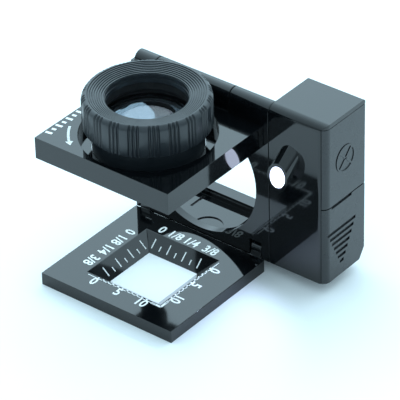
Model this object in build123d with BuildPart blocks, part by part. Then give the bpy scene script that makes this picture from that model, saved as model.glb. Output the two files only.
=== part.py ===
from build123d import *
import os
from math import cos, radians, sin

# Folding hand lens with a scale window, a focusing ring and a battery lamp.
# Millimetres. The origin lies on the optical axis, in the plane of the base plate's underside.
# +X points to the lamp housing, -Y to the front and +Z up. The lens stands open, ready for use.

# ---- driving dimensions ----
PLATE_WIDTH = 27.0  # base plate and lens plate, across
BASE_FRONT, BASE_REAR = -12.25, 12.05
BASE_THICK = 2.3
WINDOW = 10.0  # clear square at the underside, where the scales end
WINDOW_TOP = 15.3  # the same window at the top of its sloping sides

WALL_FRONT = 12.2  # front face shared by the upright and the lamp housing
WALL_THICK = 1.4
WALL_RIGHT = 14.45
FLOOR = 2.2  # underside of the upright and the housing
VIEW_HOLE_R, VIEW_HOLE_Z = 11.87, 15.15

HINGE_R = 1.5  # top hinge barrel
HINGE_Y, HINGE_Z = WALL_FRONT + HINGE_R, 30.8
TOP_PIN_R = 0.6
BARREL_LEFT = -12.8
KNUCKLE_LEFT, KNUCKLE_RIGHT = -8.6, 6.5  # ends of the lens plate's own knuckle
HINGE_GAP = 0.2
RUNNING_FIT = 0.05

LENS_PLATE_FRONT, LENS_PLATE_REAR = -11.9, 12.1
LENS_PLATE_Z, LENS_PLATE_THICK = 24.4, 3.9
RECESS_R, RECESS_DEPTH = 11.2, 2.1

RING_R = 10.44  # knurled focusing ring
RING_BOTTOM, RING_TOP = 30.1, 35.7
SKIRT_R, SKIRT_BOTTOM = 9.0, 25.3
EYE_R = 6.65
CELL_R, LENS_R = 8.1, 7.3
FOCUS_TRAVEL = 3.7

BASE_PIN_R = 0.5
BASE_HINGE_R = 1.1
BASE_HINGE_Z = 3.6
BASE_HINGE_Y = WALL_FRONT - 0.1 - BASE_THICK + BASE_HINGE_Z  # folds to 0.1 in front of the upright
EAR_IN, EAR_OUT = 10.6, 12.6

SHELF_TOP = 3.1
RIDGE_FRONT, RIDGE_TOP = WALL_FRONT + 8.3, 4.45

BOX_LEFT, BOX_RIGHT = 14.6, 25.65
BOX_DEPTH = 10.75
BOX_TOP = 32.4
BOX_CORNER = 1.45  # radius of the upright corner between the front and the covers
SHELL = 1.0
TENON_END, TENON_Z, TENON_LENGTH, TENON_THICK = BOX_LEFT + 0.5, 16.0, 18.0, 0.6
DOOR_TOP = 16.5
DOOR_GAP = 0.15
COVER_GAP = 0.08
DOOR_THICK = 0.9

BUTTON_R, BUTTON_H, BUTTON_COUNT = 3.95, 3.6, 3
LAMP_X, LAMP_Z, LAMP_TILT = 18.5, 23.8, 45.0
LAMP_TUBE_R, LAMP_R = 1.95, 1.45

box_y = WALL_FRONT + BOX_DEPTH / 2
box_back = WALL_FRONT + BOX_DEPTH
half = PLATE_WIDTH / 2
plate_top = LENS_PLATE_Z + LENS_PLATE_THICK


def side_plane(x):
    """Sketch plane across the hinges: its own X is +Y and its own Y is +Z."""
    return Plane(origin=(x, 0, 0), x_dir=(0, 1, 0), z_dir=(1, 0, 0))


# ---- base plate: window with four sloping sides, two hinge ears at the rear ----
base_y = (BASE_FRONT + BASE_REAR) / 2
with BuildPart() as base_plate:
    with BuildSketch(Plane.XY):
        with Locations((0, base_y)):
            Rectangle(PLATE_WIDTH, BASE_REAR - BASE_FRONT)
    extrude(amount=BASE_THICK)
    for side in (-1, 1):
        ear_x = min(side * EAR_IN, side * EAR_OUT)
        with BuildSketch(side_plane(ear_x)):
            with Locations((BASE_HINGE_Y, BASE_HINGE_Z)):
                Circle(BASE_HINGE_R)
            with BuildLine():
                Polyline(
                    (BASE_REAR - 0.9, 0.2), (BASE_REAR + 0.7, 0.2),
                    (BASE_HINGE_Y + 0.98, BASE_HINGE_Z - 0.5), (BASE_HINGE_Y, BASE_HINGE_Z),
                    (BASE_HINGE_Y - 1.05, BASE_HINGE_Z - 0.3), (BASE_REAR, BASE_THICK),
                    (BASE_REAR - 0.9, BASE_THICK), close=True,
                )
            make_face()
        extrude(amount=EAR_OUT - EAR_IN)
        with BuildSketch(side_plane(ear_x)):
            with Locations((BASE_HINGE_Y, BASE_HINGE_Z)):
                Circle(BASE_PIN_R + RUNNING_FIT)
        extrude(amount=EAR_OUT - EAR_IN, mode=Mode.SUBTRACT)
    with BuildSketch(Plane.XY):
        Rectangle(WINDOW, WINDOW)
    with BuildSketch(Plane.XY.offset(BASE_THICK)):
        Rectangle(WINDOW_TOP, WINDOW_TOP)
    loft(mode=Mode.SUBTRACT)

pin_in, pin_out = EAR_IN - 1.0, 13.3
with BuildPart() as base_hinge_pins:
    for side in (-1, 1):
        with BuildSketch(side_plane(min(side * pin_in, side * pin_out))):
            with Locations((BASE_HINGE_Y, BASE_HINGE_Z)):
                Circle(BASE_PIN_R)
        extrude(amount=pin_out - pin_in)

# ---- upright: wall with its round view hole, shelf, stow ridge and hinge knuckles ----
wall_back = WALL_FRONT + WALL_THICK
ear_room = 0.2
with BuildPart() as upright_frame:
    with BuildSketch(Plane.XZ.offset(-WALL_FRONT)):
        with Locations(((WALL_RIGHT - half) / 2, (FLOOR + HINGE_Z) / 2)):
            Rectangle(WALL_RIGHT + half, HINGE_Z - FLOOR)
    extrude(amount=-WALL_THICK)
    with BuildSketch(side_plane(BARREL_LEFT)):
        with Locations((HINGE_Y, HINGE_Z)):
            Circle(HINGE_R)
    extrude(amount=WALL_RIGHT - BARREL_LEFT)
    with BuildSketch(Plane.XZ.offset(-WALL_FRONT + 1)):
        with Locations((0, VIEW_HOLE_Z)):
            Circle(VIEW_HOLE_R)
        with Locations((0, HINGE_Z - HINGE_Y)):
            Circle(RING_R + 0.45)
    extrude(amount=-WALL_THICK - 2, mode=Mode.SUBTRACT)
    # room for the lens plate's knuckle and riser
    with Locations(((KNUCKLE_LEFT + KNUCKLE_RIGHT) / 2, HINGE_Y, 28)):
        Box(KNUCKLE_RIGHT - KNUCKLE_LEFT + 2 * HINGE_GAP, 8, 12, mode=Mode.SUBTRACT)
    # shelf behind the wall, with the ridge that the folded lens plate rests against
    with BuildSketch(side_plane(-half)):
        with BuildLine():
            Polyline(
                (wall_back - 0.2, FLOOR), (box_back, FLOOR), (box_back, RIDGE_TOP),
                (RIDGE_FRONT + 0.2, RIDGE_TOP), (RIDGE_FRONT + 0.2, RIDGE_TOP - 0.5),
                (RIDGE_FRONT, RIDGE_TOP - 0.5), (RIDGE_FRONT, SHELF_TOP),
                (wall_back - 0.2, SHELF_TOP), close=True,
            )
        make_face()
    extrude(amount=WALL_RIGHT + half)
    # lugs for the two base pins
    for side in (-1, 1):
        outer = half if side < 0 else WALL_RIGHT
        start = min(side * (EAR_IN - 1.2), side * outer)
        with BuildSketch(side_plane(start)):
            with Locations(((wall_back - 0.4 + BASE_HINGE_Y + 1.2) / 2, (FLOOR + 4.9) / 2)):
                Rectangle(BASE_HINGE_Y + 1.6 - wall_back, 4.9 - FLOOR)
        extrude(amount=outer - EAR_IN + 1.2)
        with Locations((side * (EAR_IN + EAR_OUT) / 2, BASE_HINGE_Y - 0.4, 3.4)):
            Box(EAR_OUT - EAR_IN + 2 * ear_room, 3.6, 3.8, mode=Mode.SUBTRACT)
        with BuildSketch(side_plane(min(side * pin_in, side * pin_out))):
            with Locations((BASE_HINGE_Y, BASE_HINGE_Z)):
                Circle(BASE_PIN_R)
        extrude(amount=pin_out - pin_in, mode=Mode.SUBTRACT)
    # shallow slot, step and thumb hollow in the shelf
    with Locations((-5.2, WALL_FRONT + 6.0, SHELF_TOP)):
        Box(0.5, 3.5, 0.5, mode=Mode.SUBTRACT)
    with Locations(((4.8 + 9.2) / 2, (wall_back + RIDGE_FRONT) / 2, SHELF_TOP)):
        Box(9.2 - 4.8, RIDGE_FRONT - wall_back, 0.7, mode=Mode.SUBTRACT)
    with BuildSketch(Plane.XY.offset(SHELF_TOP - 0.2)):
        with Locations((0.6, wall_back)):
            Circle(2.6)
    extrude(amount=0.2, mode=Mode.SUBTRACT)
    # bore for the top pin
    with BuildSketch(side_plane(BARREL_LEFT + 0.6)):
        with Locations((HINGE_Y, HINGE_Z)):
            Circle(TOP_PIN_R)
    extrude(amount=WALL_RIGHT - BARREL_LEFT - 1.2, mode=Mode.SUBTRACT)
    # tenon that locates the lamp housing
    with Locations(((WALL_RIGHT + TENON_END) / 2, WALL_FRONT + WALL_THICK / 2, TENON_Z)):
        Box(TENON_END - WALL_RIGHT, TENON_THICK, TENON_LENGTH)

with BuildPart() as top_hinge_pin:
    with BuildSketch(side_plane(BARREL_LEFT + 0.6)):
        with Locations((HINGE_Y, HINGE_Z)):
            Circle(TOP_PIN_R)
    extrude(amount=WALL_RIGHT - BARREL_LEFT - 1.2)

# ---- lens plate: block with a threaded bore, a recess for the ring and a hinge riser ----
with BuildPart() as lens_plate:
    with BuildSketch(Plane.XY.offset(LENS_PLATE_Z)):
        with Locations((0, (LENS_PLATE_FRONT + LENS_PLATE_REAR) / 2)):
            Rectangle(PLATE_WIDTH, LENS_PLATE_REAR - LENS_PLATE_FRONT)
    extrude(amount=LENS_PLATE_THICK)
    with BuildSketch(side_plane(KNUCKLE_LEFT)):
        with Locations((HINGE_Y, HINGE_Z)):
            Circle(HINGE_R)
        with Locations(((LENS_PLATE_REAR - 0.5 + HINGE_Y) / 2, (25.4 + HINGE_Z) / 2)):
            Rectangle(HINGE_Y - LENS_PLATE_REAR + 0.5, HINGE_Z - 25.4)
    extrude(amount=KNUCKLE_RIGHT - KNUCKLE_LEFT)
    # the riser's front face is level with the upright's, above the plate
    with Locations(((KNUCKLE_LEFT + KNUCKLE_RIGHT) / 2, WALL_FRONT - 1, (plate_top + HINGE_Z) / 2)):
        Box(KNUCKLE_RIGHT - KNUCKLE_LEFT, 2, HINGE_Z - plate_top, mode=Mode.SUBTRACT)
    with BuildSketch(side_plane(KNUCKLE_LEFT)):
        with Locations((HINGE_Y, HINGE_Z)):
            Circle(TOP_PIN_R + RUNNING_FIT)
    extrude(amount=KNUCKLE_RIGHT - KNUCKLE_LEFT, mode=Mode.SUBTRACT)
    with BuildSketch(Plane.XY.offset(LENS_PLATE_Z)):
        Circle(SKIRT_R + 0.1)
    extrude(amount=LENS_PLATE_THICK, mode=Mode.SUBTRACT)
    with BuildSketch(Plane.XY.offset(plate_top - RECESS_DEPTH)):
        Circle(RECESS_R)
    extrude(amount=RECESS_DEPTH, mode=Mode.SUBTRACT)

# ---- focusing ring: knurled head, shallow stepped eye cup and a screw skirt ----
KNURL_GROUPS, GROOVES_PER_GROUP = 20, 3
STEP_COUNT = 6
cup_rim = 9.5
cup_edge = 35.0  # height of the eye opening's edge
step_r = (cup_rim - EYE_R) / STEP_COUNT
step_z = (RING_TOP - cup_edge) / STEP_COUNT
cup_steps = []
for i in range(STEP_COUNT):
    step_x = cup_rim - i * step_r
    cup_steps += [(step_x, RING_TOP - i * step_z), (step_x, RING_TOP - (i + 1) * step_z)]
with BuildPart() as focus_ring:
    with BuildSketch(Plane.XZ):
        with BuildLine():
            Polyline(
                (CELL_R + 0.1, SKIRT_BOTTOM), (SKIRT_R, SKIRT_BOTTOM), (SKIRT_R, RING_BOTTOM),
                (RING_R, RING_BOTTOM), (RING_R, RING_TOP - 0.9), (RING_R - 0.25, RING_TOP - 0.3),
                (RING_R - 0.6, RING_TOP), *cup_steps, (EYE_R, cup_edge),
                (EYE_R, 33.4), (CELL_R + 0.1, 33.4), close=True,
            )
        make_face()
    revolve(axis=Axis.Z)
    for group in range(KNURL_GROUPS):
        for groove in range(GROOVES_PER_GROUP):
            angle = 360 / KNURL_GROUPS * (group + 0.2 * (groove - 1))
            groove_x, groove_y = RING_R * cos(radians(angle)), RING_R * sin(radians(angle))
            with Locations(Location((groove_x, groove_y, 32.9), (0, 0, angle))):
                Box(0.5, 0.32, 6.2, mode=Mode.SUBTRACT)

# ---- lens cell and optics ----
UPPER_FLAT, LOWER_FLAT, EDGE = 29.9, 28.9, 1.2
lens_curve_r = 20.0
lens_sag = lens_curve_r - (lens_curve_r**2 - LENS_R**2) ** 0.5
with BuildPart() as lens_cell:
    with BuildSketch(Plane.XZ):
        with BuildLine():
            Polyline(
                (LENS_R + 0.05, 25.6), (CELL_R, 25.6), (CELL_R, 33.2), (LENS_R - 0.4, 33.2),
                (LENS_R - 0.4, UPPER_FLAT + EDGE + 0.9),
                (LENS_R + 0.05, UPPER_FLAT + EDGE + 0.2), close=True,
            )
        make_face()
    revolve(axis=Axis.Z)

with BuildPart() as upper_lens:
    with BuildSketch(Plane.XZ):
        with BuildLine():
            top = UPPER_FLAT + EDGE + lens_sag
            Line((0, UPPER_FLAT), (LENS_R, UPPER_FLAT))
            Line((LENS_R, UPPER_FLAT), (LENS_R, UPPER_FLAT + EDGE))
            RadiusArc((LENS_R, UPPER_FLAT + EDGE), (0, top), -lens_curve_r)
            Line((0, top), (0, UPPER_FLAT))
        make_face()
    revolve(axis=Axis.Z)

with BuildPart() as lower_lens:
    with BuildSketch(Plane.XZ):
        with BuildLine():
            low = LOWER_FLAT - EDGE - lens_sag
            Line((0, LOWER_FLAT), (LENS_R, LOWER_FLAT))
            Line((LENS_R, LOWER_FLAT), (LENS_R, LOWER_FLAT - EDGE))
            RadiusArc((LENS_R, LOWER_FLAT - EDGE), (0, low), lens_curve_r)
            Line((0, low), (0, LOWER_FLAT))
        make_face()
    revolve(axis=Axis.Z)

with BuildPart() as lens_spacer:
    with BuildSketch(Plane.XY.offset(LOWER_FLAT)):
        Circle(LENS_R)
        Circle(LENS_R - 0.7, mode=Mode.SUBTRACT)
    extrude(amount=UPPER_FLAT - LOWER_FLAT)

with BuildPart() as lens_retainer:
    with BuildSketch(Plane.XY.offset(LOWER_FLAT - EDGE - 0.25)):
        Circle(LENS_R)
        Circle(LENS_R - 0.6, mode=Mode.SUBTRACT)
    extrude(amount=-1.2)

# ---- lamp housing: five-sided shell, open to the right ----
inner_left, inner_front, inner_back = BOX_LEFT + SHELL, WALL_FRONT + SHELL, box_back - SHELL
door_inner = BOX_RIGHT - DOOR_THICK
rim = 0.75  # housing edge left showing above the side cover
lamp_dir = Vector(-0.15, -cos(radians(LAMP_TILT)), -sin(radians(LAMP_TILT))).normalized()
lamp_root = Vector(LAMP_X, WALL_FRONT, LAMP_Z)
lamp_plane = Plane(origin=lamp_root - lamp_dir * 2.2, z_dir=lamp_dir)
with BuildSketch() as box_plan:
    with Locations(((BOX_LEFT + BOX_RIGHT) / 2, box_y)):
        Rectangle(BOX_RIGHT - BOX_LEFT, BOX_DEPTH)
    fillet(box_plan.vertices().sort_by(Axis.Y)[:2].sort_by(Axis.X)[-1], BOX_CORNER)

with BuildPart() as lamp_housing:
    with BuildSketch(side_plane(BOX_LEFT)):
        with Locations((box_y, (FLOOR + BOX_TOP) / 2)):
            Rectangle(BOX_DEPTH, BOX_TOP - FLOOR)
    extrude(amount=BOX_RIGHT - BOX_LEFT)
    fillet(lamp_housing.edges().filter_by(Axis.X).group_by(Axis.Z)[-1].sort_by(Axis.Y)[0], 1.45)
    fillet(lamp_housing.edges().filter_by(Axis.X).group_by(Axis.Z)[-1].sort_by(Axis.Y)[-1], 0.4)
    with BuildSketch(Plane.XY.offset(FLOOR)):
        add(box_plan.sketch)
    extrude(amount=BOX_TOP - FLOOR, mode=Mode.INTERSECT)
    hollow_deep, hollow_tall = BOX_DEPTH - 2 * SHELL, BOX_TOP - FLOOR - 2 * SHELL
    with Locations((BOX_RIGHT, box_y, (FLOOR + BOX_TOP) / 2)):
        Box(2 * (BOX_RIGHT - inner_left), hollow_deep, hollow_tall, mode=Mode.SUBTRACT)
    # seat for the side cover and the battery door, open all round but for the top
    seat_top = BOX_TOP - rim
    with BuildSketch(side_plane(door_inner)):
        with Locations((box_y, (FLOOR - 1 + seat_top) / 2)):
            Rectangle(BOX_DEPTH + 2, seat_top - FLOOR + 1)
    extrude(amount=DOOR_THICK + 1, mode=Mode.SUBTRACT)
    # grooves for the door's two tongues, open at the bottom
    for wall_y, inward in ((inner_front, 1), (inner_back, -1)):
        with Locations((door_inner - 0.55, wall_y, (FLOOR - 1 + DOOR_TOP) / 2)):
            Box(0.5, 0.9, DOOR_TOP - FLOOR + 1, mode=Mode.SUBTRACT)
        with Locations((door_inner - 0.43, wall_y + inward * 0.25, FLOOR + SHELL / 2)):
            Box(0.9, 0.6, SHELL + 0.2, mode=Mode.SUBTRACT)
    # slot for the upright's tenon
    with Locations(((BOX_LEFT + TENON_END) / 2, WALL_FRONT + WALL_THICK / 2, TENON_Z)):
        Box(TENON_END - BOX_LEFT, TENON_THICK, TENON_LENGTH, mode=Mode.SUBTRACT)
    # shelf between the battery bay and the lamp bay
    with Locations(((inner_left + 22.9) / 2, box_y, 17.6)):
        Box(22.9 - inner_left, BOX_DEPTH - 2 * SHELL, 0.8)
    # lamp hole and switch slot
    with BuildSketch(lamp_plane):
        Circle(LAMP_TUBE_R)
    extrude(amount=5, mode=Mode.SUBTRACT)
    with Locations((20.2, box_back - 0.5, 25.0)):
        Box(1.6, 1.4, 4.2, mode=Mode.SUBTRACT)

with BuildSketch() as cover_plan:
    add(box_plan.sketch)
    with Locations((door_inner + COVER_GAP + 5, box_y)):
        Rectangle(10, BOX_DEPTH, mode=Mode.INTERSECT)

with BuildPart() as side_cover:
    cover_bottom, cover_top = DOOR_TOP + DOOR_GAP, BOX_TOP - rim - COVER_GAP
    with BuildSketch(Plane.XY.offset(cover_bottom)):
        add(cover_plan.sketch)
    extrude(amount=cover_top - cover_bottom)
    # two locating pegs
    for peg_z in (20.5, 29.5):
        with BuildSketch(side_plane(door_inner - 0.6)):
            with Locations((inner_front + 0.7, peg_z), (inner_back - 0.7, peg_z)):
                Circle(0.6)
        extrude(amount=0.6 + 2 * COVER_GAP)

with BuildPart() as battery_door:
    with BuildSketch(Plane.XY.offset(FLOOR)):
        add(cover_plan.sketch)
    extrude(amount=DOOR_TOP - FLOOR)
    # rear corner cut away at the bottom
    with BuildSketch(side_plane(door_inner)):
        with BuildLine():
            Polyline(
                (box_back - 1.3, FLOOR), (box_back + 1, FLOOR), (box_back + 1, FLOOR + 2.9),
                (box_back, FLOOR + 1.9), close=True,
            )
        make_face()
    extrude(amount=DOOR_THICK + 1, mode=Mode.SUBTRACT)
    # tongues that run in the housing's grooves
    for wall_y, inward in ((inner_front, 1), (inner_back, -1)):
        with Locations((door_inner - 0.3, wall_y + inward * 0.25, (FLOOR + DOOR_TOP) / 2 - 0.3)):
            Box(1.0, 0.4, DOOR_TOP - FLOOR - 1.2)
        with Locations((door_inner - 0.55, wall_y, (FLOOR + DOOR_TOP) / 2 - 0.3)):
            Box(0.36, 0.7, DOOR_TOP - FLOOR - 1.2)
    # fingernail notch at the top
    with Locations((BOX_RIGHT, 16.7, DOOR_TOP)):
        Box(0.6, 5.4, 0.8, mode=Mode.SUBTRACT)
    # grip grooves, shorter towards the bottom
    GRIP_COUNT = 7
    for i in range(GRIP_COUNT):
        with Locations((BOX_RIGHT, 16.8, 11.4 - i * 1.1)):
            Box(0.5, 7.4 * (1 - i / GRIP_COUNT), 0.6, mode=Mode.SUBTRACT)

# ---- lamp ----
with BuildPart() as led_shroud:
    with BuildSketch(lamp_plane):
        Circle(LAMP_TUBE_R)
        Circle(LAMP_R + 0.05, mode=Mode.SUBTRACT)
    extrude(amount=7.5)
    # cut off level, parallel to the housing's face
    with Locations((LAMP_X, WALL_FRONT - 2.4 - 5, LAMP_Z - 3)):
        Box(10, 10, 20, mode=Mode.SUBTRACT)

with BuildPart() as led:
    with BuildSketch(lamp_plane.offset(1.0)):
        Circle(LAMP_R)
    extrude(amount=6.5)
    # its end lies just inside the tube's
    with Locations((LAMP_X, WALL_FRONT - 2.3 - 5, LAMP_Z - 3)):
        Box(10, 10, 20, mode=Mode.SUBTRACT)

lead_length = 1.6
lead_plane = lamp_plane.offset(1.0 - lead_length)
with BuildPart() as led_leads:
    with BuildSketch(lead_plane):
        with Locations((-0.6, 0), (0.6, 0)):
            Circle(0.22)
    extrude(amount=lead_length)

# ---- lamp electronics ----
board_y = inner_back - 2.6
board_thick = 0.8
with BuildPart() as circuit_board:
    with Locations((19.4, board_y, 25.0)):
        Box(6.4, board_thick, 10.4)

with BuildPart() as resistor:
    with Locations((17.6, board_y - board_thick / 2 - 0.3, 27.6)):
        Box(1.6, 0.6, 0.9)

switch_y0 = board_y + board_thick / 2
with BuildPart() as switch_body:
    with Locations((20.2, (switch_y0 + inner_back) / 2, 25.0)):
        Box(2.8, inner_back - switch_y0, 6.4)
    with Locations((20.2, inner_back, 25.0)):
        Box(1.3, 1.6, 4.0, mode=Mode.SUBTRACT)

SWITCH_TRAVEL = 2.0
with BuildPart() as switch_slider:
    with Locations((20.2, box_back - 0.5, 25.0 + SWITCH_TRAVEL / 2 - 0.05)):
        Box(1.1, 2.6, 1.7)
    fillet(switch_slider.edges().filter_by(Axis.X).sort_by(Axis.Y)[-2:], 0.2)

# ---- battery bay: three button cells between a leaf spring and a contact plate ----
stack_z = 5.0
stack_top = stack_z + BUTTON_COUNT * BUTTON_H
with BuildPart() as button_cells:
    for i in range(BUTTON_COUNT):
        with BuildSketch(Plane.XY.offset(stack_z + i * BUTTON_H)):
            with Locations((inner_left + BUTTON_R + 0.2, box_y)):
                Circle(BUTTON_R - 0.45)
        extrude(amount=BUTTON_H - 0.02)
        with BuildSketch(Plane.XY.offset(stack_z + i * BUTTON_H + 0.35)):
            with Locations((inner_left + BUTTON_R + 0.2, box_y)):
                Circle(BUTTON_R)
        extrude(amount=BUTTON_H - 0.37)

floor_inner = FLOOR + SHELL
with BuildPart() as battery_spring:
    with BuildSketch(side_plane(inner_left + 2.6)):
        with BuildLine():
            Polyline(
                (box_y - 3.2, floor_inner), (box_y + 3.2, floor_inner), (box_y + 3.2, floor_inner + 0.3),
                (box_y - 2.2, floor_inner + 0.3), (box_y + 1.4, stack_z), (box_y - 0.4, stack_z),
                (box_y - 3.2, floor_inner + 0.4), close=True,
            )
        make_face()
    extrude(amount=3.0)

with BuildPart() as positive_contact:
    with Locations((inner_left + 4.1, box_y, (stack_top + 17.2) / 2)):
        Box(4.0, 4.6, 17.2 - stack_top)

with BuildPart() as contact_strip:
    with Locations((inner_left + 3.9, inner_back - 0.13, (floor_inner + 16.9) / 2)):
        Box(2.0, 0.22, 16.9 - floor_inner)

PARTS = {
    "base_plate": base_plate, "base_hinge_pins": base_hinge_pins, "upright_frame": upright_frame,
    "top_hinge_pin": top_hinge_pin, "lens_plate": lens_plate, "focus_ring": focus_ring,
    "lens_cell": lens_cell, "upper_lens": upper_lens, "lower_lens": lower_lens,
    "lens_spacer": lens_spacer, "lens_retainer": lens_retainer, "lamp_housing": lamp_housing,
    "side_cover": side_cover, "battery_door": battery_door, "led_shroud": led_shroud, "led": led,
    "led_leads": led_leads, "circuit_board": circuit_board, "resistor": resistor,
    "switch_body": switch_body, "switch_slider": switch_slider, "button_cells": button_cells,
    "battery_spring": battery_spring, "positive_contact": positive_contact,
    "contact_strip": contact_strip,
}
os.makedirs("parts", exist_ok=True)
for name, piece in PARTS.items():
    piece.part.label = name
    export_step(piece.part, f"parts/{name}.step")
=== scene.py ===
from math import atan2, cos, pi, radians, sin, sqrt

import bmesh
import bpy
from mathutils import Matrix, Vector


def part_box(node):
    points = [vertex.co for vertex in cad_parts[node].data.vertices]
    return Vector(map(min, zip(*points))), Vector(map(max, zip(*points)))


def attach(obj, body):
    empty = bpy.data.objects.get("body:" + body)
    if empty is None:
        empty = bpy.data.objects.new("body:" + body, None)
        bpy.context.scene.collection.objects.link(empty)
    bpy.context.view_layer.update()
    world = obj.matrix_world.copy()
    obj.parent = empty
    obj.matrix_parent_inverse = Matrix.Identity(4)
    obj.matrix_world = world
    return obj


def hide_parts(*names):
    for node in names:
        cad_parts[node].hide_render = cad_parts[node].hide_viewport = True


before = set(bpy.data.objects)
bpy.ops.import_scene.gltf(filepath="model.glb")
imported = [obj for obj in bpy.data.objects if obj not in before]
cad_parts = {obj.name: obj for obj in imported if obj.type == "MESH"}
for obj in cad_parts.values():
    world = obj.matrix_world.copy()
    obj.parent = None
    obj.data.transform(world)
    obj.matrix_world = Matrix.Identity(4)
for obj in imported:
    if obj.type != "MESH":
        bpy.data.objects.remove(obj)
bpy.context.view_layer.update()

# ---- Base plate ----
# The flat foot with the square window. Injection-moulded black ABS from a polished tool, so it is a
# dark mirror with a faint waviness, and its edges carry the small radius that the mould gives them.
MM = 0.001
ABS_BLACK = "07090B"
PLATE_EDGE = 0.22 * MM
SAME_POINT = 0.002 * MM  # corners closer than this are merged


def linear(code):
    """An sRGB hex colour as linear RGBA."""
    parts = [int(code[i:i + 2], 16) / 255 for i in (0, 2, 4)]
    return [c / 12.92 if c <= 0.04045 else ((c + 0.055) / 1.055) ** 2.4 for c in parts] + [1.0]


def add_node(tree, kind, settings=None, **links):
    """Adds a node; settings are its attributes, and links fill its inputs, by name or as i0, i1."""
    node = tree.nodes.new(kind)
    for key, value in (settings or {}).items():
        setattr(node, key, value)
    for name, value in links.items():
        numbered = name[0] == "i" and name[1:].isdigit()
        socket = node.inputs[int(name[1:]) if numbered else name.replace("_", " ")]
        if isinstance(value, bpy.types.NodeSocket):
            tree.links.new(value, socket)
        else:
            socket.default_value = value
    return node


def start_material(name, **sockets):
    """A material whose shader has these values, and its Object coordinates in metres."""
    material = bpy.data.materials.new(name)
    material.use_nodes = True
    shader = material.node_tree.nodes["Principled BSDF"]
    for key, value in sockets.items():
        shader.inputs[key.replace("_", " ")].default_value = value
    place = add_node(material.node_tree, "ShaderNodeTexCoord").outputs["Object"]
    return material, material.node_tree, shader, place


def moulded_plastic(name, colour, roughness, wave, grain):
    """ABS: a slow sink-mark waviness, plus a fine grain where the tool was not polished."""
    material, tree, shader, place = start_material(name, Base_Color=linear(colour), IOR=1.53)
    slow = add_node(tree, "ShaderNodeTexNoise", Vector=place, Scale=180.0, Detail=1.0)  # 5 mm sink marks
    fine = add_node(tree, "ShaderNodeTexNoise", Vector=place, Scale=5000.0, Detail=2.0)  # 0.2 mm grain
    haze = add_node(tree, "ShaderNodeTexNoise", Vector=place, Scale=420.0, Detail=4.0)  # handling marks
    wear = add_node(tree, "ShaderNodeMapRange", Value=haze.outputs[0], From_Min=0.35, From_Max=0.75,
                    To_Min=roughness, To_Max=roughness * 1.6)
    tree.links.new(wear.outputs[0], shader.inputs["Roughness"])
    wavy = add_node(tree, "ShaderNodeBump", Strength=1.0, Distance=wave * MM, Height=slow.outputs[0])
    grainy = add_node(tree, "ShaderNodeBump", Strength=1.0, Distance=grain * MM, Height=fine.outputs[0],
                      Normal=wavy.outputs[0])
    tree.links.new(grainy.outputs[0], shader.inputs["Normal"])
    return material


def as_piece(mesh, name, body, material, smooth=35):
    """Puts a finished mesh in the scene, shades it and hangs it on its body."""
    piece = bpy.data.objects.new(name, mesh)
    bpy.context.collection.objects.link(piece)
    mesh.materials.clear()
    mesh.materials.append(material)
    mesh.shade_smooth()
    mesh.set_sharp_from_angle(angle=radians(smooth))
    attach(piece, body)
    return piece


def moulded_copy(node, name, body, material, edge):
    """A CAD part's copy with moulded edges: merged, its flats made whole, and its corners rounded."""
    form = bmesh.new()
    form.from_mesh(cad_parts[node].data)
    bmesh.ops.remove_doubles(form, verts=form.verts, dist=SAME_POINT)
    bmesh.ops.dissolve_limit(form, angle_limit=radians(1), verts=form.verts, edges=form.edges)
    mesh = bpy.data.meshes.new(name)
    form.to_mesh(mesh)
    form.free()
    piece = as_piece(mesh, name, body, material)
    rounding = piece.modifiers.new("moulded edges", "BEVEL")
    rounding.width = edge
    rounding.segments = 3
    rounding.limit_method = "ANGLE"
    rounding.angle_limit = radians(40)
    weighting = piece.modifiers.new("flat faces", "WEIGHTED_NORMAL")
    weighting.keep_sharp = True
    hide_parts(node)
    return piece


gloss_abs = moulded_plastic("polished black ABS", ABS_BLACK, 0.05, 0.004, 0.0)
moulded_copy("base_plate", "base_plate_shell", "base", gloss_abs, PLATE_EDGE)

# ---- Scales printed on the base plate ----
# White pad-printed ink, a few hundredths of a millimetre thick. Sixteenths of an inch run along the
# back and left slopes, and millimetres along the front and right edges, each with its numerals.
INK_THICK = 0.03 * MM
NUMERAL_TALL = 1.9 * MM
BASE_TOP = 2.3 * MM
WINDOW_LOW, WINDOW_TOP = 5.0 * MM, 7.65 * MM  # half widths of the window, under and on top
SIXTEENTH = 1.5875 * MM
TICK_WIDE = 0.2 * MM
LONG_TICK, SHORT_TICK = 1.75 * MM, 0.9 * MM
TICK_START = 0.85 * MM  # up the slope from the window's lower edge
LIP = 0.3 * MM
slope = atan2(BASE_TOP, WINDOW_TOP - WINDOW_LOW)
ink_form = bmesh.new()


def print_text(form, words, centre, turn, tall, squeeze=0.86):
    """Sets one word flat in ink: its centre, the turn of its reading direction, and its height."""
    curve = bpy.data.curves.new("letters", "FONT")
    curve.body = words
    curve.offset = 0.022  # the print is a little bolder than the font
    curve.extrude = 0.5 * INK_THICK / tall
    curve.resolution_u = 6
    letters = bpy.data.objects.new("letters", curve)
    bpy.context.collection.objects.link(letters)
    mesh = bpy.data.meshes.new_from_object(letters.evaluated_get(bpy.context.evaluated_depsgraph_get()))
    bpy.data.objects.remove(letters)
    xs = [v.co.x for v in mesh.vertices]
    ys = [v.co.y for v in mesh.vertices]
    scale = tall / (max(ys) - min(ys))
    middle = Vector(((max(xs) + min(xs)) / 2, (max(ys) + min(ys)) / 2, 0))
    mesh.transform(Matrix.Translation(centre) @ Matrix.Rotation(turn, 4, "Z")
                   @ Matrix.Diagonal((scale * squeeze, scale, scale, 1)) @ Matrix.Translation(-middle))
    form.from_mesh(mesh)
    bpy.data.meshes.remove(mesh)


def print_bar(form, matrix, long, wide):
    """One printed stroke along its own X, its middle at the matrix's place."""
    size = Matrix.Diagonal((long, wide, INK_THICK, 1))
    bmesh.ops.create_cube(form, size=1.0, matrix=matrix @ size)


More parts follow.
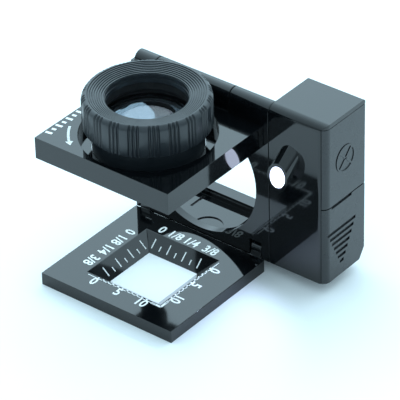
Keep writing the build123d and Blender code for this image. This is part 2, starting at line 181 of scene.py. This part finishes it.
on_top = BASE_TOP + 0.3 * INK_THICK
numerals = (
    ("0", (-5.3, 9.0), 0), ("1/8", (-2.3, 9.0), 0), ("1/4", (1.0, 9.0), 0), ("3/8", (4.8, 9.0), 0),
    ("0", (-9.2, 5.3), -90), ("1/8", (-9.2, 2.3), -90), ("1/4", (-9.2, -1.1), -90),
    ("3/8", (-9.2, -4.7), -90),
    ("0", (8.9, 4.9), -90), ("5", (8.9, 0.0), -90), ("10", (8.9, -5.0), -90),
    ("0", (-5.1, -8.95), 0), ("5", (-0.1, -8.95), 0), ("10", (4.9, -8.95), 0),
)
for words, (x, y), degrees in numerals:
    print_text(ink_form, words, Vector((x * MM, y * MM, on_top)), radians(degrees), NUMERAL_TALL)
for side, shift in ((0, -0.3 * MM), (90, 0.2 * MM)):
    for i in range(7):
        long = SHORT_TICK if i % 2 else LONG_TICK
        up = TICK_START + long / 2
        across = (i - 3) * SIXTEENTH + shift
        bevel_place = (Matrix.Rotation(radians(side), 4, "Z") @ Matrix.Translation((across, WINDOW_LOW, 0))
                       @ Matrix.Rotation(slope, 4, "X") @ Matrix.Translation((0, up, 0.3 * INK_THICK))
                       @ Matrix.Rotation(pi / 2, 4, "Z"))
        print_bar(ink_form, bevel_place, long, TICK_WIDE)
for side in (180, 270):
    turned = Matrix.Rotation(radians(side), 4, "Z")
    line = turned @ Matrix.Translation((0, WINDOW_TOP + LIP + TICK_WIDE / 2, on_top))
    print_bar(ink_form, line, 2 * WINDOW_TOP - 1.2 * MM, 0.14 * MM)
    for i in range(11):
        tick_place = (turned @ Matrix.Translation(((i - 5) * MM, WINDOW_TOP + LIP / 2 + 0.12 * MM, on_top))
                      @ Matrix.Rotation(pi / 2, 4, "Z"))
        print_bar(ink_form, tick_place, LIP + 0.1 * MM, 0.34 * MM)
for side, way in ((180, -1), (270, 1)):
    corner = (Matrix.Rotation(radians(side), 4, "Z")
              @ Matrix.Translation((way * (WINDOW_TOP - 0.6 * MM), WINDOW_TOP + LIP + 0.1 * MM, on_top)))
    print_bar(ink_form, corner, 2.0 * MM, 0.4 * MM)

ink, ink_tree, ink_shader, ink_place = start_material(
    "white pad-print ink", Base_Color=linear("F4F5F2"), IOR=1.48)
ink_mottle = add_node(ink_tree, "ShaderNodeTexNoise", Vector=ink_place, Scale=2500.0, Detail=3.0)  # 0.4 mm
ink_rough = add_node(ink_tree, "ShaderNodeMapRange", Value=ink_mottle.outputs[0], To_Min=0.3, To_Max=0.6)
ink_tree.links.new(ink_rough.outputs[0], ink_shader.inputs["Roughness"])
ink_edge = add_node(ink_tree, "ShaderNodeBump", Strength=0.4, Distance=0.01 * MM,
                    Height=ink_mottle.outputs[0])
ink_tree.links.new(ink_edge.outputs[0], ink_shader.inputs["Normal"])
ink_mesh = bpy.data.meshes.new("base_scales")
ink_form.to_mesh(ink_mesh)
ink_form.free()
as_piece(ink_mesh, "base_scales", "base", ink)

# ---- Base hinge pins ----
# Two short lengths of drawn stainless wire, pressed into the upright's lugs; the plate's ears turn
# on them. Drawing leaves fine lines along the wire.
steel, steel_tree, steel_shader, steel_place = start_material(
    "drawn stainless steel", Base_Color=linear("B9BABA"), Metallic=1.0)
drawn_lines = add_node(steel_tree, "ShaderNodeMapping", Vector=steel_place, Scale=(300.0, 9000.0, 9000.0))
drawn_noise = add_node(steel_tree, "ShaderNodeTexNoise", Vector=drawn_lines.outputs[0], Scale=1.0, Detail=2.0)
drawn_rough = add_node(steel_tree, "ShaderNodeMapRange", Value=drawn_noise.outputs[0],
                       To_Min=0.18, To_Max=0.42)
steel_tree.links.new(drawn_rough.outputs[0], steel_shader.inputs["Roughness"])


def keep_node(node, material):
    """Leaves a CAD part showing, in a better finish."""
    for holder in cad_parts[node].material_slots:
        holder.material = material


keep_node("base_hinge_pins", steel)

# ---- Upright ----
# The wall with its round view hole, the shelf behind it and the two fixed knuckles of the top hinge.
# One moulding in the same polished ABS as the plates.
moulded_copy("upright_frame", "upright_shell", "stand", gloss_abs, 0.15 * MM)
keep_node("top_hinge_pin", steel)

# ---- Lens plate ----
# The thick square block that holds the lens. Polished ABS again, with a round recess that the ring
# screws down into, and its own hinge knuckle on a riser at the back.
moulded_copy("lens_plate", "lens_plate_shell", "plate", gloss_abs, PLATE_EDGE)

# ---- Marks printed on the lens plate ----
# The same white ink: a curved arrow for the ring's turn, and a row of plain strokes, long and short
# in turn, along the left edge.
PLATE_TOP = 28.3 * MM
ROW_X, ROW_FRONT, ROW_REAR = -12.55 * MM, -9.5 * MM, 0.5 * MM
ARROW_MIDDLE_R = 12.65 * MM
arrow_from, arrow_to = radians(209), radians(229)
mark_form = bmesh.new()
mark_z = PLATE_TOP + 0.3 * INK_THICK
row_count = 9
for i in range(row_count):
    y = ROW_FRONT + (ROW_REAR - ROW_FRONT) * i / (row_count - 1)
    stroke = 1.25 * MM if i % 2 == 0 else 0.8 * MM
    leaning = Matrix.Translation((ROW_X, y, mark_z)) @ Matrix.Rotation(radians(8), 4, "Z")
    print_bar(mark_form, leaning, stroke, 0.5 * MM)
arrow_steps = 10
for i in range(arrow_steps):
    angle = arrow_from + (arrow_to - arrow_from) * (i + 0.5) / arrow_steps
    spot = Matrix.Rotation(angle, 4, "Z") @ Matrix.Translation((ARROW_MIDDLE_R, 0, mark_z))
    print_bar(mark_form, spot @ Matrix.Rotation(pi / 2, 4, "Z"),
              1.15 * ARROW_MIDDLE_R * (arrow_to - arrow_from) / arrow_steps, 0.42 * MM)
head = Matrix.Rotation(arrow_to, 4, "Z") @ Matrix.Translation((ARROW_MIDDLE_R, 0.35 * MM, mark_z))
bmesh.ops.create_cone(mark_form, cap_ends=True, segments=3, radius1=0.75 * MM, radius2=0.75 * MM,
                      depth=INK_THICK, matrix=head)
mark_mesh = bpy.data.meshes.new("plate_marks")
mark_form.to_mesh(mark_mesh)
mark_form.free()
as_piece(mark_mesh, "plate_marks", "plate", ink)

# ---- Focusing ring ----
# The knurled head that is turned to focus. Satin ABS: groups of three narrow grooves with wide lands
# between, a rounded shoulder, and a shallow eye cup of fine turned steps down to the opening.
RING_R, RING_LOW, RING_HIGH = 10.44 * MM, 30.1 * MM, 35.7 * MM
SKIRT_R, SKIRT_LOW = 9.0 * MM, 25.3 * MM
RIM_R, EYE_R, EYE_Z = 9.62 * MM, 6.67 * MM, 35.0 * MM
BORE_R, BORE_HIGH = 8.2 * MM, 33.4 * MM
GROUPS, STEPS_PER_GROUP = 20, 48
GROOVE_DEEP, GROOVE_SPACING, GROOVE_HALF = 0.34 * MM, 10, 3.5
CUP_STEPS = 8
around = GROUPS * STEPS_PER_GROUP


def groove_depth(step):
    """How far the wall is cut in at this step round the ring, from 0 on a land to 1 in a groove."""
    place = step % STEPS_PER_GROUP - STEPS_PER_GROUP // 2
    nearest = min(abs(place - k * GROOVE_SPACING) for k in (-1, 0, 1))
    return max(0.0, 1 - (nearest / GROOVE_HALF) ** 2)


ring_form = bmesh.new()
first = bmesh.ops.create_circle(ring_form, segments=around, radius=1.0)["verts"]
first_row = sorted(first, key=lambda v: atan2(v.co.y, v.co.x) % (2 * pi))
ring_rows = [
    (RING_R - 0.2 * MM, RING_LOW, 0.4), (RING_R, RING_LOW + 0.25 * MM, 1), (RING_R, RING_HIGH - 1.0 * MM, 1),
    (RING_R - 0.06 * MM, RING_HIGH - 0.72 * MM, 1), (RING_R - 0.22 * MM, RING_HIGH - 0.4 * MM, 1),
    (RING_R - 0.42 * MM, RING_HIGH - 0.15 * MM, 0.8), (RING_R - 0.62 * MM, RING_HIGH - 0.03 * MM, 0.3),
    (RIM_R, RING_HIGH, 0),
]
for i in range(CUP_STEPS):
    land = (RIM_R - EYE_R) / CUP_STEPS
    r0 = RIM_R - i * land
    z0 = RING_HIGH - (RING_HIGH - EYE_Z) * i / CUP_STEPS
    z1 = RING_HIGH - (RING_HIGH - EYE_Z) * (i + 1) / CUP_STEPS
    ring_rows += [(r0 - 0.45 * land, z0, 0), (r0 - 0.55 * land, z1 - 0.1 * MM, 0),
                  (r0 - 0.85 * land, z1 - 0.1 * MM, 0), (r0 - 0.95 * land, z1, 0)]
ring_rows += [
    (EYE_R, EYE_Z, 0), (EYE_R, 34.5 * MM, 0), (EYE_R + 0.12 * MM, 34.45 * MM, 0),
    (EYE_R + 0.12 * MM, 34.2 * MM, 0), (EYE_R, 34.15 * MM, 0),
    (EYE_R, BORE_HIGH, 0), (BORE_R, BORE_HIGH, 0), (BORE_R, SKIRT_LOW, 0),
    (SKIRT_R, SKIRT_LOW, 0), (SKIRT_R, RING_LOW, 0),
]
row = first_row
for index, (radius, z, cut) in enumerate(ring_rows):
    if index:
        edges = [ring_form.edges.get((row[i], row[(i + 1) % around])) for i in range(around)]
        made = bmesh.ops.extrude_edge_only(ring_form, edges=edges)
        fresh = [e for e in made["geom"] if isinstance(e, bmesh.types.BMVert)]
        row = sorted(fresh, key=lambda v: atan2(v.co.y, v.co.x) % (2 * pi))
    for i, vert in enumerate(row):
        reach = radius - GROOVE_DEEP * cut * groove_depth(i)
        angle = 2 * pi * i / around
        vert.co = (reach * cos(angle), reach * sin(angle), z)
closing = [ring_form.edges.get((r[i], r[(i + 1) % around])) for r in (first_row, row) for i in range(around)]
bmesh.ops.bridge_loops(ring_form, edges=closing)
bmesh.ops.recalc_face_normals(ring_form, faces=ring_form.faces)
ring_mesh = bpy.data.meshes.new("focus_ring_head")
ring_form.to_mesh(ring_mesh)
ring_form.free()
satin_abs = moulded_plastic("satin black ABS", "1C2125", 0.3, 0.003, 0.01)
ring = as_piece(ring_mesh, "focus_ring_head", "ring", satin_abs, smooth=50)
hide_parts("focus_ring")

# ---- Lens cell, spacer and retainer ----
# Matt black tube inside the ring that carries both lenses, with the spacer between them and the ring
# that holds the lower one in. Blackened, so that stray light doesn't reach the eye.
matt_abs = moulded_plastic("matt black ABS", "0E0F11", 0.55, 0.0, 0.02)
moulded_copy("lens_cell", "lens_cell_tube", "cell", matt_abs, 0.06 * MM)
keep_node("lens_spacer", matt_abs)
keep_node("lens_retainer", matt_abs)

# ---- Lenses ----
# Two plano-convex lenses of crown glass, flat sides facing, ground and polished. A single-layer
# coating takes most of the reflection off and leaves the rest faintly blue.
LENS_R, LENS_CURVE, LENS_EDGE = 7.3 * MM, 20.0 * MM, 1.2 * MM
coated_glass, glass_tree, glass_shader, glass_place = start_material(
    "coated crown glass", Base_Color=linear("B9C1C8"), Roughness=0.0, IOR=1.52, Transmission_Weight=1.0,
    Thin_Film_Thickness=120.0, Thin_Film_IOR=1.38)
dust = add_node(glass_tree, "ShaderNodeTexNoise", Vector=glass_place, Scale=900.0, Detail=5.0)  # 1 mm smears
dust_rough = add_node(glass_tree, "ShaderNodeMapRange", Value=dust.outputs[0], From_Min=0.55, From_Max=0.9,
                      To_Min=0.0, To_Max=0.06)
glass_tree.links.new(dust_rough.outputs[0], glass_shader.inputs["Roughness"])
for node, name, flat, way in (("upper_lens", "upper_lens_glass", 29.9 * MM, 1),
                              ("lower_lens", "lower_lens_glass", 28.9 * MM, -1)):
    lens_form = bmesh.new()
    drop = sqrt(LENS_CURVE**2 - LENS_R**2)
    outline = [(0.0, flat), (LENS_R, flat), (LENS_R, flat + way * LENS_EDGE)]
    for i in range(12, -1, -1):
        radius = LENS_R * i / 13
        outline.append((radius, flat + way * (LENS_EDGE + sqrt(LENS_CURVE**2 - radius**2) - drop)))
    points = [lens_form.verts.new((r, 0, z)) for r, z in outline]
    wires = [lens_form.edges.new(pair) for pair in zip(points, points[1:])]
    bmesh.ops.spin(lens_form, geom=points + wires, cent=(0, 0, 0), axis=(0, 0, 1), angle=2 * pi,
                   steps=96, use_merge=True)
    bmesh.ops.remove_doubles(lens_form, verts=lens_form.verts, dist=SAME_POINT)
    bmesh.ops.recalc_face_normals(lens_form, faces=lens_form.faces)
    lens_mesh = bpy.data.meshes.new(name)
    lens_form.to_mesh(lens_mesh)
    lens_form.free()
    lens = as_piece(lens_mesh, name, "cell", coated_glass)
    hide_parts(node)

# ---- Lamp housing, side cover and battery door ----
# The upright box beside the lens: a shell with its front and top polished, closed on the right by a
# fixed cover and a sliding door. The two covers have a finer satin from handling.
cover_abs = moulded_plastic("satin cover ABS", "17191C", 0.2, 0.004, 0.004)
moulded_copy("lamp_housing", "lamp_housing_shell", "stand", gloss_abs, 0.15 * MM)
moulded_copy("side_cover", "side_cover_panel", "stand", cover_abs, 0.12 * MM)
moulded_copy("battery_door", "battery_door_panel", "door", cover_abs, 0.08 * MM)

# ---- Lamp symbol on the side cover ----
# The plain circuit symbol for a lamp, a circle with a cross in it, standing a tenth of a millimetre
# proud of the cover, in the same plastic.
SYMBOL_R, STROKE, STROKE_HIGH = 2.3 * MM, 0.32 * MM, 0.12 * MM
cover_low, cover_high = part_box("side_cover")
cover_middle = Vector((cover_high[0], (cover_low[1] + cover_high[1]) / 2, cover_low[2] + 7.4 * MM))
symbol_form = bmesh.new()
section_place = Matrix.Translation((SYMBOL_R, 0, 0)) @ Matrix.Rotation(pi / 2, 4, "X")
bmesh.ops.create_grid(symbol_form, x_segments=1, y_segments=1, size=0.5,
                      matrix=section_place @ Matrix.Diagonal((STROKE, 2 * STROKE_HIGH, 1, 1)))
bmesh.ops.delete(symbol_form, geom=symbol_form.faces[:], context="FACES_ONLY")  # its outline is spun
bmesh.ops.spin(symbol_form, geom=symbol_form.verts[:] + symbol_form.edges[:], cent=(0, 0, 0),
               axis=(0, 0, 1), angle=2 * pi, steps=64, use_merge=True)
bmesh.ops.remove_doubles(symbol_form, verts=symbol_form.verts, dist=SAME_POINT)
bmesh.ops.recalc_face_normals(symbol_form, faces=symbol_form.faces)
for degrees in (45, -45):
    bmesh.ops.create_cube(symbol_form, size=1.0, matrix=Matrix.Rotation(radians(degrees), 4, "Z")
                          @ Matrix.Diagonal((2 * SYMBOL_R, STROKE, 1.9 * STROKE_HIGH, 1)))
bmesh.ops.transform(symbol_form, verts=symbol_form.verts,
                    matrix=Matrix.Translation(cover_middle) @ Matrix.Rotation(pi / 2, 4, "Y"))
symbol_mesh = bpy.data.meshes.new("lamp_symbol")
symbol_form.to_mesh(symbol_mesh)
symbol_form.free()
as_piece(symbol_mesh, "lamp_symbol", "stand", cover_abs)

# ---- Lamp ----
# A 3 mm clear epoxy light-emitting diode, lit, in a short black tube that points down at the window.
# The epoxy glows evenly, cool white.
moulded_copy("led_shroud", "led_shroud_tube", "stand", gloss_abs, 0.06 * MM)
epoxy = start_material("lit clear epoxy", Base_Color=linear("E4ECFF"), Roughness=0.12, IOR=1.54,
                       Emission_Color=linear("DCE4FF"), Emission_Strength=5.0)[0]
moulded_copy("led", "led_bulb", "stand", epoxy, 0.05 * MM)
keep_node("led_leads", steel)

# ---- Lamp electronics and cells, inside the housing ----
# Green solder-masked laminate, a chip resistor, the slide switch with its thumb-piece, plated steel
# contacts and three nickel-plated button cells.
laminate, board_tree, board_shader, board_place = start_material(
    "solder-masked laminate", Base_Color=linear("1F5A34"), Roughness=0.35, IOR=1.5)
weave = add_node(board_tree, "ShaderNodeTexWave", Vector=board_place, Scale=900.0, Distortion=1.5)
weave_bump = add_node(board_tree, "ShaderNodeBump", Strength=0.3, Distance=0.02 * MM,
                      Height=weave.outputs[1])
board_tree.links.new(weave_bump.outputs[0], board_shader.inputs["Normal"])
nickel, nickel_tree, nickel_shader, nickel_place = start_material(
    "nickel-plated steel", Base_Color=linear("C6C3BC"), Metallic=1.0)
scuff = add_node(nickel_tree, "ShaderNodeTexNoise", Vector=nickel_place, Scale=1500.0, Detail=4.0)
scuff_rough = add_node(nickel_tree, "ShaderNodeMapRange", Value=scuff.outputs[0], To_Min=0.12, To_Max=0.4)
nickel_tree.links.new(scuff_rough.outputs[0], nickel_shader.inputs["Roughness"])
for node, material in (("circuit_board", laminate), ("resistor", matt_abs), ("switch_body", matt_abs),
                       ("button_cells", nickel), ("battery_spring", nickel), ("positive_contact", nickel),
                       ("contact_strip", nickel)):
    keep_node(node, material)
moulded_copy("switch_slider", "switch_thumb_piece", "switch", satin_abs, 0.08 * MM)

# ---- Floor, light and camera ----
# A white sweep under broad, soft studio light that is brightest behind and to the left, so that the
# polished plastic has something pale to reflect.
floor_form = bmesh.new()
bmesh.ops.create_grid(floor_form, x_segments=1, y_segments=1, size=3.0)
floor_mesh = bpy.data.meshes.new("floor")
floor_form.to_mesh(floor_mesh)
floor_form.free()
paper = start_material("white paper", Base_Color=linear("F6F6F6"), Roughness=0.9)[0]
floor_mesh.materials.append(paper)
floor = bpy.data.objects.new("floor", floor_mesh)
bpy.context.collection.objects.link(floor)

world = bpy.data.worlds.new("studio")
bpy.context.scene.world = world
world.use_nodes = True
sky = world.node_tree
ray = add_node(sky, "ShaderNodeTexCoord").outputs["Generated"]
height = add_node(sky, "ShaderNodeSeparateXYZ", Vector=ray).outputs["Z"]
behind = add_node(sky, "ShaderNodeVectorMath", {"operation": "DOT_PRODUCT"},
                  i0=ray, i1=(-0.6, 0.8, 0.0)).outputs["Value"]
wall = add_node(sky, "ShaderNodeMapRange", Value=behind, From_Min=-0.2, From_Max=0.7,
                To_Min=1.25, To_Max=3.3)
lift = add_node(sky, "ShaderNodeMapRange", {"interpolation_type": "SMOOTHSTEP"}, Value=height,
                From_Min=0.12, From_Max=0.42, To_Min=0.35, To_Max=1.0)
glow = add_node(sky, "ShaderNodeMath", {"operation": "MULTIPLY"}, i0=wall.outputs[0], i1=lift.outputs[0])
back = sky.nodes["Background"]
back.inputs["Color"].default_value = linear("D2F1FF")
sky.links.new(glow.outputs[0], back.inputs["Strength"])

led_low, led_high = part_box("led")
led_middle = (Vector(led_low) + Vector(led_high)) / 2
beam_data = bpy.data.lights.new("lamp beam", "SPOT")
beam_data.energy = 0.05
beam_data.color = (0.55, 0.68, 1.0)
beam_data.spot_size = radians(95)
beam_data.spot_blend = 0.8
beam_data.shadow_soft_size = 0.8 * MM
beam = bpy.data.objects.new("lamp beam", beam_data)
BEAM_START = 2.6 * MM  # from the lamp's middle
beam_way = Vector((-0.15, -0.7, -0.7)).normalized()
beam_turn = beam_way.to_track_quat("-Z", "Y").to_matrix().to_4x4()
beam.matrix_world = Matrix.Translation(led_middle + beam_way * BEAM_START) @ beam_turn
bpy.context.collection.objects.link(beam)

CAMERA_PLACE = (0.2657, -0.3132, 0.2934)
CAMERA_ROUND, CAMERA_DOWN, CAMERA_ROLL = radians(39.21), radians(34.13), radians(-1.54)
camera_data = bpy.data.cameras.new("camera")
camera_data.lens = 278.3
camera_data.sensor_width = 36.0
camera_data.clip_start = 0.01
camera = bpy.data.objects.new("camera", camera_data)
camera.matrix_world = (Matrix.Translation(CAMERA_PLACE) @ Matrix.Rotation(CAMERA_ROUND, 4, "Z")
                       @ Matrix.Rotation(pi / 2 - CAMERA_DOWN, 4, "X") @ Matrix.Rotation(CAMERA_ROLL, 4, "Z"))
bpy.context.collection.objects.link(camera)
bpy.context.scene.camera = camera
bpy.context.scene.view_settings.view_transform = "Standard"
